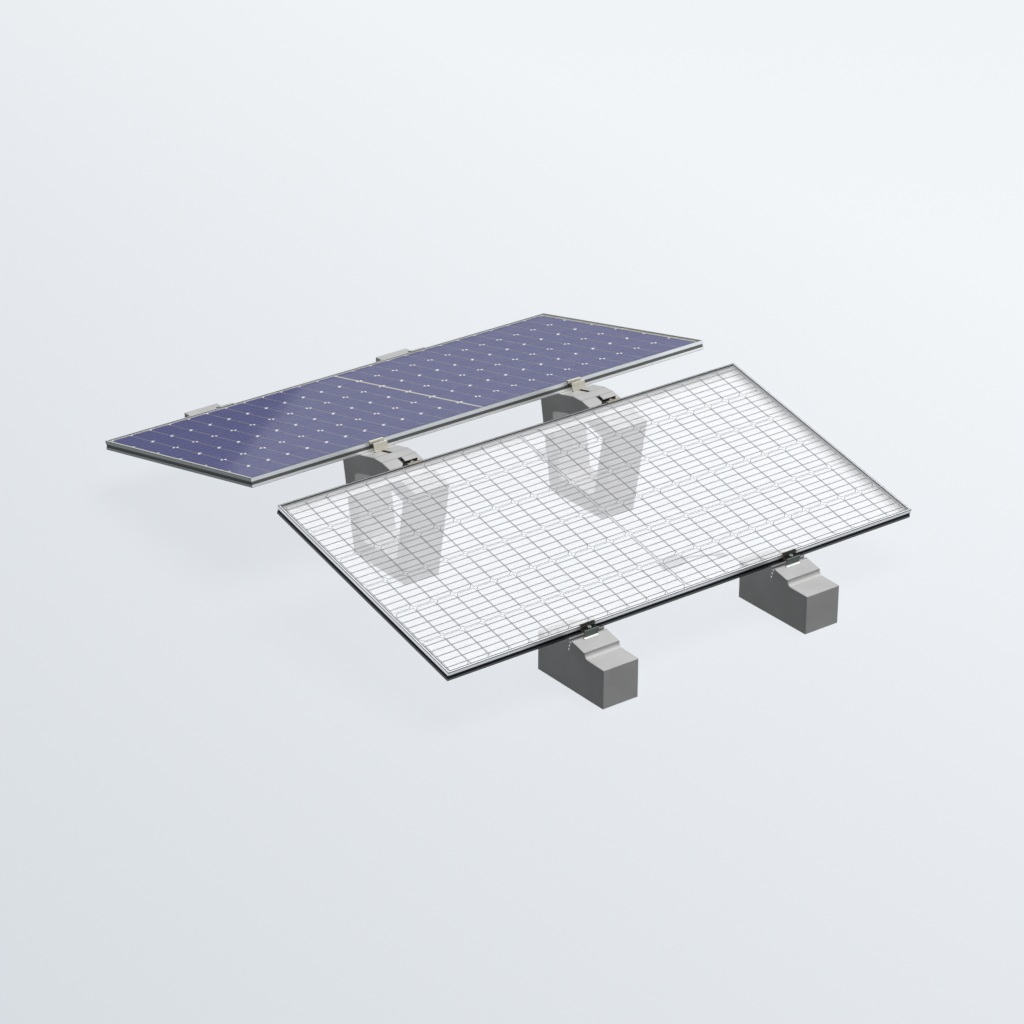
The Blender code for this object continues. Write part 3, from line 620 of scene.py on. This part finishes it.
def tinned(name, colour, alpha):
    """Tinned copper ribbon."""
    n = material_nodes(name)
    grain = n.streaks(n.place(), (30.0, 900.0, 900.0))
    dark = tuple(channel * 0.85 for channel in colour)
    n.shade(Base_Color=n.mix(n.vary(grain), dark, colour),
            Roughness=n.vary(grain, 0.25, 0.4), Alpha=alpha, Metallic=0.3)
    return n.owner


def assign(node, material):
    """Give a carried-over solid a material."""
    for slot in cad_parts[node].material_slots:
        slot.material = material


def add_piece(name, mesh, matrix, material):
    """A piece of the scene from a mesh in a module's own frame."""
    mesh.transform(matrix)
    mesh.materials.append(material)
    piece = linked(name, mesh)
    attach(piece, "root")


def strips(name, spans, matrix, material):
    """Flat square-edged ribbons, given as low and high corners in a module's own frame."""
    cage = bmesh.new()
    for low, high in spans:
        size = [b - a for a, b in zip(low, high)]
        middle = [(a + b) / 2 for a, b in zip(low, high)]
        made = bmesh.ops.create_cube(cage, size=1)["verts"]
        bmesh.ops.scale(cage, vec=size, verts=made)
        bmesh.ops.translate(cage, vec=middle, verts=made)
    mesh = bpy.data.meshes.new(name)
    cage.to_mesh(mesh)
    cage.free()
    add_piece(name, mesh, matrix, material)


def ribbon_spans(half):
    """Five ribbons along each row of cells, on both halves, from half a ribbon's width."""
    spans = []
    low_z, high_z = (CELL_TOP + height for height in BUSBAR_HEIGHTS)
    for row in range(ROWS):
        centre = (row - (ROWS - 1) / 2) * ROW_PITCH
        for bar in range(BUSBARS):
            y = centre + (bar - (BUSBARS - 1) / 2) * BUSBAR_PITCH
            for low, high in ((-COLUMNS_REACH, -BUSBAR_CENTRE_END), (BUSBAR_CENTRE_END, COLUMNS_REACH)):
                spans.append(((low, y - half, low_z), (high, y + half, high_z)))
    return spans


def collector_spans():
    """Wider ribbons across the rows, at both ends and in the middle."""
    spans = []
    low_z, high_z = (SHEET_TOP + height for height in COLLECTOR_HEIGHTS)
    reach = ROWS_REACH - COLLECTOR_MARGIN
    near = COLUMNS_REACH + COLLECTOR_START
    far = COLUMNS_REACH + COLLECTOR_END
    for low, high in ((-far, -near), (near, far), (-COLLECTOR_CENTRE_HALF, COLLECTOR_CENTRE_HALF)):
        spans.append(((low, -reach, low_z), (high, reach, high_z)))
    return spans


def cell_centres():
    """The middle of each cell, with 1 where its clipped corners lie on the left and -1 on the right."""
    for half in (0, 1):
        for row in range(ROWS):
            for column in range(COLUMNS_PER_HALF):
                x = (CENTRE_GAP + CELL_LENGTH) / 2 + column * CELL_PITCH
                y = ((ROWS - 1) / 2 - row) * ROW_PITCH
                way = -1 if (half + row) % 2 else 1
                yield x if half else -x, y, way


def cell_edges(name, matrix, material, width):
    """The rims of all the cells: a thin frame just inside each clipped outline."""
    half_x = CELL_LENGTH / 2
    half_y = CELL_WIDTH / 2
    clip = CELL_CORNER
    outline = [(-half_x + clip, -half_y), (half_x, -half_y), (half_x, half_y), (-half_x + clip, half_y),
               (-half_x, half_y - clip), (-half_x, clip - half_y)]
    inner_share = (1 - width / half_x, 1 - width / half_y)
    vertices = []
    faces = []
    count = len(outline)
    for x, y, way in cell_centres():
        first = len(vertices)
        for height in RIM_HEIGHTS:
            for share_x, share_y in ((1, 1), inner_share):
                for a, b in outline:
                    vertices.append((x + way * a * share_x, y + way * b * share_y, CELL_TOP + height))
        outer_low, inner_low, outer_high, inner_high = (first + count * level for level in range(4))
        for step in range(count):
            after = (step + 1) % count
            faces.append((outer_high + step, outer_high + after, inner_high + after, inner_high + step))
            faces.append((outer_low + after, outer_low + step, inner_low + step, inner_low + after))
            faces.append((outer_low + step, outer_low + after, outer_high + after, outer_high + step))
            faces.append((inner_low + after, inner_low + step, inner_high + step, inner_high + after))
    mesh = bpy.data.meshes.new(name)
    mesh.from_pydata(vertices, [], faces)
    add_piece(name, mesh, matrix, material)


def area_light(name, place, target, size, power):
    """A large soft light aimed at a point."""
    light = bpy.data.lights.new(name, "AREA")
    light.shape = "SQUARE"
    light.size = size
    light.energy = power
    holder = linked(name, light)
    holder.location = place
    holder.rotation_euler = (Vector(target) - Vector(place)).to_track_quat("-Z", "Y").to_euler()


def even_light(name, direction, level, spread):
    """A soft light from far away, towards which direction points. It throws no shadow."""
    light = bpy.data.lights.new(name, "SUN")
    light.energy = level * math.pi
    light.angle = math.radians(spread)
    light.use_shadow = False
    holder = linked(name, light)
    holder.rotation_euler = Vector(direction).to_track_quat("Z", "Y").to_euler()


# Materials of the blocks, clamps, rails, fasteners, boxes and connectors
# Each place has a lit or shaded copy of the same clamp sheet: the front ridge and front low clamps are
# painted dark as shaded copies, and the troughs, lips, feet and end faces are painted light and shade.
CLAMP_LOOKS = {
    "rear_ridge": {
        "side": 1, "specular": 0.5, "trough_top": 0.0275,
        "face": (0.80, 0.77, 0.66), "lip": (0.80, 0.77, 0.66), "trough": (0.06, 0.045, 0.035),
        "foot": (0.42, 0.40, 0.33), "end": (0.05, 0.045, 0.04),
    },
    "front_ridge": {
        "side": -1, "specular": 0.3, "trough_top": 0.0345,
        "face": (0.22, 0.20, 0.17), "lip": (0.30, 0.28, 0.23), "trough": (0.03, 0.025, 0.02),
        "foot": (0.02, 0.02, 0.02), "end": (0.04, 0.035, 0.03),
    },
    "front_low": {
        "side": -1, "specular": 0.15, "trough_top": 0.0275,
        "face": (0.16, 0.19, 0.175), "lip": (0.012, 0.010, 0.008), "trough": (0.012, 0.011, 0.010),
        "foot": (0.95, 0.95, 0.93), "end": (0.30, 0.24, 0.19),
    },
    "rear_low": {
        "side": 1, "specular": 0.5, "trough_top": 0.0345,
        "face": (0.50, 0.51, 0.50), "lip": (0.50, 0.51, 0.50), "trough": (0.10, 0.10, 0.10),
        "foot": (0.70, 0.70, 0.69), "end": (0.40, 0.40, 0.39),
    },
}
block = concrete()
clamp_sheets = {}
for place, look in CLAMP_LOOKS.items():
    clamp_sheets[place] = clamp_sheet(place + "_clamp_sheet", module_matrix(look["side"]), look)
steel = stainless()
plastic = moulded("black_plastic", (0.022, 0.022, 0.024), roughness=0.5)
clear_plastic = moulded("clear_plastic", (0.13, 0.135, 0.15), roughness=0.4, alpha=0.36)
cable = moulded("cable_jacket", (0.10, 0.105, 0.12), roughness=0.42, alpha=0.55)
low_rails = {"front": low_rail("front_rail_alloy", -1), "rear": low_rail("rear_rail_alloy", 1)}
arch_rail_painted_shade = arch_rail()
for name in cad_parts:
    if name.endswith("_block"):
        assign(name, block)
    elif name.endswith("_clamp"):
        front_or_rear, _, low_or_ridge, _ = name.split("_")
        assign(name, clamp_sheets[front_or_rear + "_" + low_or_ridge])
    elif name.endswith(("_bolt", "_nut")):
        assign(name, steel)
    elif name.endswith("_rail"):
        assign(name, arch_rail_painted_shade if "_arch_" in name else low_rails[name.split("_")[0]])
    elif name.endswith(("_junction_box", "_connector")):
        assign(name, clear_plastic if name.startswith("front_") else plastic)
low_lead.data.materials.append(cable)
high_lead.data.materials.append(cable)

# The modules' frames. The outer and inner faces have start heights with their colours, going up. Each side
# of a module is a lit or shaded copy of the same aluminium, and the dark bands are painted shade.
# Front module: the black bands on the outer face are painted shade in the groove, and the dark upper inner
# wall is painted shade under the lip.
FRONT_FAR_FRAME = {
    "outer": ((0.0, (0.003, 0.003, 0.003)), (0.0025, (0.11, 0.108, 0.115)), (0.0093, (0.001, 0.001, 0.001)),
              (0.0225, (0.75, 0.75, 0.79))),
    "inner": ((0.0, WHITE), (0.0020, (0.42, 0.42, 0.43)), (0.0150, (0.02, 0.02, 0.022))),
    "lip": (0.50, 0.505, 0.515),
    "line": (0.01, 0.01, 0.012),
    "lip_line": 0.0045,
    "outer_line": 0.0022,
}
# The near and short sides are lit and shaded copies of the far side, with paler lips.
FRONT_NEAR_FRAME = dict(FRONT_FAR_FRAME, lip=(0.80, 0.81, 0.82), lip_line=0.0030)
FRONT_SHORT_FRAME = dict(
    FRONT_FAR_FRAME,
    outer=((0.0, (0.003, 0.003, 0.003)), (0.0025, (0.13, 0.125, 0.135)), (0.0095, (0.001, 0.001, 0.001)),
           (0.0222, (0.95, 0.95, 1.0))),
    lip=(0.70, 0.71, 0.72),
    lip_line=0.0028,
    outer_line=0.0014,
)
# Rear module: the dark band on the outer face is painted shade in the groove.
REAR_NEAR_FRAME = {
    "outer": ((0.0, (0.40, 0.42, 0.43)), (0.0016, WHITE), (0.0098, (0.165, 0.165, 0.158)),
              (0.0222, (0.94, 0.98, 1.0))),
    "inner": ((0.0, (0.80, 0.80, 0.80)),),
    "lip": (0.80, 0.84, 0.86),
    "line": (0.04, 0.04, 0.05),
    "lip_line": 0.0060,
    "outer_line": 0.0,
}
REAR_FAR_FRAME = dict(REAR_NEAR_FRAME, lip_line=0.0026)
# The left and right sides are shaded copies: their outer faces are painted dark, and the right side's lip
# too.
REAR_LEFT_FRAME = {
    "outer": ((0.0, (0.09, 0.09, 0.09)), (0.0016, (0.19, 0.20, 0.20)), (0.0098, (0.036, 0.036, 0.036)),
              (0.0222, (0.22, 0.24, 0.24))),
    "inner": ((0.0, (0.80, 0.80, 0.80)),),
    "lip": (0.75, 0.74, 0.68),
    "line": (0.06, 0.06, 0.06),
    "lip_line": 0.0012,
    "outer_line": 0.0008,
}
REAR_RIGHT_FRAME = dict(REAR_LEFT_FRAME, lip=(0.19, 0.20, 0.19))
MODULES = {
    "front": {
        "side": -1,
        "sheet": {
            "cell": (0.975, 0.985, 1.0), "cell_dark": (0.965, 0.97, 1.0), "finger": (0.85, 0.85, 0.9),
            "sheet": WHITE, "row_gap": (0.90, 0.90, 0.91), "column_gap": (0.50, 0.50, 0.53),
            "edge": (0.62, 0.62, 0.64), "coat": 0.3, "cross_reach": 0.0138, "every_cross": True,
        },
        "sheet_alpha": 0.27,
        "line_alpha": 0.40,
        "glass_alpha": 0.06,
        "frame": {"near": FRONT_NEAR_FRAME, "far": FRONT_FAR_FRAME, "left": FRONT_SHORT_FRAME,
                  "right": FRONT_SHORT_FRAME},
        "ribbon": (0.045, 0.045, 0.055),
        "ribbon_alpha": 0.92,
        "ribbon_half": 0.0016,
        "collector": (0.62, 0.62, 0.66),
        "collector_alpha": 0.25,
        "slot": "clear_laminate",
    },
    "rear": {
        "side": 1,
        "sheet": {
            "cell": (0.078, 0.083, 0.240), "cell_dark": (0.070, 0.074, 0.226), "finger": (0.20, 0.21, 0.34),
            "sheet": (1.0, 1.0, 0.99), "row_gap": (0.13, 0.13, 0.25), "column_gap": (0.50, 0.47, 0.34),
            "edge": (0.55, 0.54, 0.50), "coat": 0.4, "cross_reach": 0.008, "every_cross": False,
        },
        "sheet_alpha": 1.0,
        "line_alpha": 1.0,
        "glass_alpha": 0.03,
        "frame": {"near": REAR_NEAR_FRAME, "far": REAR_FAR_FRAME, "left": REAR_LEFT_FRAME,
                  "right": REAR_RIGHT_FRAME},
        "ribbon": (0.105, 0.11, 0.27),
        "ribbon_alpha": 1.0,
        "ribbon_half": 0.0006,
        "collector": (0.66, 0.64, 0.56),
        "collector_alpha": 1.0,
        "slot": "blue_laminate",
    },
}
for prefix, look in MODULES.items():
    matrix = module_matrix(look["side"])
    for place, tones in look["frame"].items():
        along = "x" if place in ("near", "far") else "y"
        alloy = frame_alloy_with_painted_shade(prefix + "_" + place + "_alloy", matrix, along, tones)
        assign(prefix + "_frame_" + place, alloy)
    cells = cell_sheet(prefix + "_cells", matrix, look["sheet"], look["sheet_alpha"], look["line_alpha"])
    assign(prefix + "_cell_laminate", cells)
    assign(prefix + "_front_glass", front_glass(prefix + "_glass", matrix, look["glass_alpha"]))
    ribbon = tinned(prefix + "_ribbon", look["ribbon"], look["ribbon_alpha"])
    collector = tinned(prefix + "_collector", look["collector"], look["collector_alpha"])
    strips(prefix + "_cell_ribbons", ribbon_spans(look["ribbon_half"]), matrix, ribbon)
    strips(prefix + "_collector_ribbons", collector_spans(), matrix, collector)
rim = tinned("front_cell_edge", (0.10, 0.105, 0.12), alpha=0.46)
cell_edges("front_cell_edges", module_matrix(-1), rim, width=0.0020)


def pale_floor():
    """Pale where the camera or a reflection sees it, with a soft shadow, and darker as a source of light.
    Its glow is a painted light, darker to the left and paler to the right.
    """
    as_light = (0.12, 0.12, 0.12)
    as_seen = (0.20, 0.205, 0.21)
    glow_left = (0.49, 0.52, 0.555)
    glow_right = (0.70, 0.72, 0.74)
    drift_direction = (0.0374, -0.0002)
    n = material_nodes("pale_floor")
    seen = n.seen()
    x, y, _ = n.split(n.place())
    # Painted light: the glow drifts from darker on the left to paler on the right.
    painted_light_drift = n.span(n.toward((x, y), drift_direction), -0.12, 0.12)
    glow = n.mix(seen, BLACK, n.mix(painted_light_drift, glow_left, glow_right))
    n.shade(Base_Color=n.mix(seen, as_light, as_seen), Roughness=0.9, Specular_IOR_Level=0.0,
            Emission_Color=glow, Emission_Strength=1.0)
    return n.owner


# Floor, just under the blocks
FLOOR_SIZE = 120
FLOOR_DROP = 0.0005
floor_material = pale_floor()
bpy.ops.mesh.primitive_plane_add(size=FLOOR_SIZE, location=(0, 0, -FLOOR_DROP))
floor = bpy.context.object
floor.name = "floor"
floor.data.materials.append(floor_material)


def studio_world():
    """A dim even room, pale where it is seen, with a dark slanted card low beyond the ridge."""
    dim = (0.062, 0.064, 0.067)
    room = (0.74, 0.76, 0.78)
    card = (0.12, 0.12, 0.13)
    across_card_edge = (0.465, -0.311, 0.829)
    to_card_middle = (0.3746, 0.9272)
    n = Nodes(bpy.data.worlds.new("studio"), "Background")
    seen = n.seen()
    x, y, z = n.split(n.add("TexCoord").outputs["Generated"])
    below_edge = n.span(n.toward((x, y, z), across_card_edge), -0.0008, 0.0008, 1.0, 0.0)
    near_middle = n.span(n.toward((x, y), to_card_middle), 0.965, 0.972)
    pale = n.mix(n.times(below_edge, near_middle), room, card)
    n.shade(Color=n.mix(seen, dim, pale), Strength=1.0)
    return n.owner


# Light
scene = bpy.context.scene
scene.view_settings.view_transform = "Standard"
scene.world = studio_world()
even_light("even_light", direction=(0.50, -0.21, 0.82), level=0.84, spread=44)
area_light("top_light", place=(0.6, -2.4, 11.0), target=(0, 0, 0), size=7.0, power=350)

bpy.context.view_layer.update()
